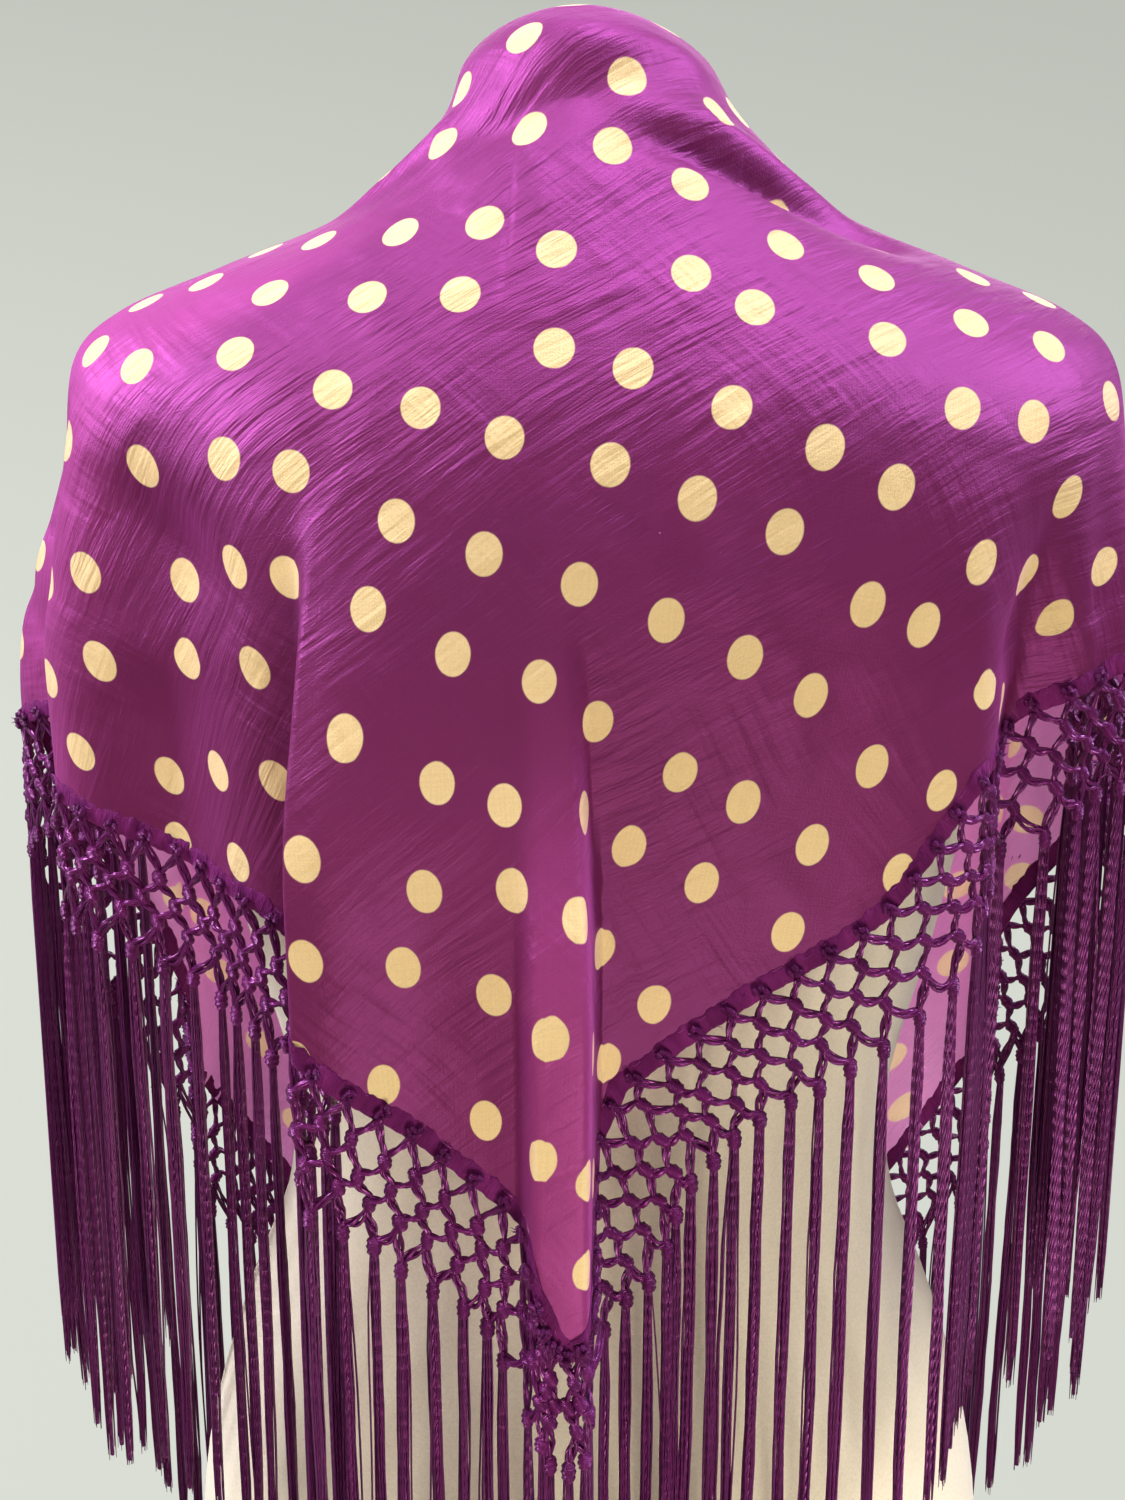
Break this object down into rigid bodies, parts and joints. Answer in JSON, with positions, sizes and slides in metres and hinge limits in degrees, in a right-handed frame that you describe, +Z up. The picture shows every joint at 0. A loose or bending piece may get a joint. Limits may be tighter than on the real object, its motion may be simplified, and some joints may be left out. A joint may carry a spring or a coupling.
{
  "type": "flamenco shawl on a dress form",
  "caption": "Triangular polka-dot flamenco shawl with knotted net and long silk fringe, draped over a limbless dress form, point down the back.",
  "frame": {"origin": "middle of the dress form's flat base", "axes": "+Z up, -Y towards the wearer's back with the shawl's point, +X towards the wearer's right"},
  "size_m": [0.4719, 0.3422, 0.953],
  "materials": {
    "cloth": "fine silky plain weave, soft sheen, cream dots",
    "hem": "doubled cloth with running stitches",
    "cord": "twisted silk cord, glossy",
    "tassel": "loose silk strands, glossy",
    "form": "matt cream jersey over a rigid body"
  },
  "bodies": {
    "root": {"form_body": "form", "shawl_neck": "cloth", "shawl_back_left": "cloth", "shawl_back_right": "cloth", "shawl_front_left": "cloth", "shawl_front_right": "cloth", "hem_left": "hem", "hem_right": "hem", "edge_left": "hem", "edge_right": "hem", "net_back_left": "cord", "net_back_right": "cord", "net_front_left": "cord", "net_front_right": "cord", "fringe_back_left": "tassel", "fringe_back_right": "tassel", "fringe_front_left": "tassel", "fringe_front_right": "tassel"}
  },
  "joints": []
}
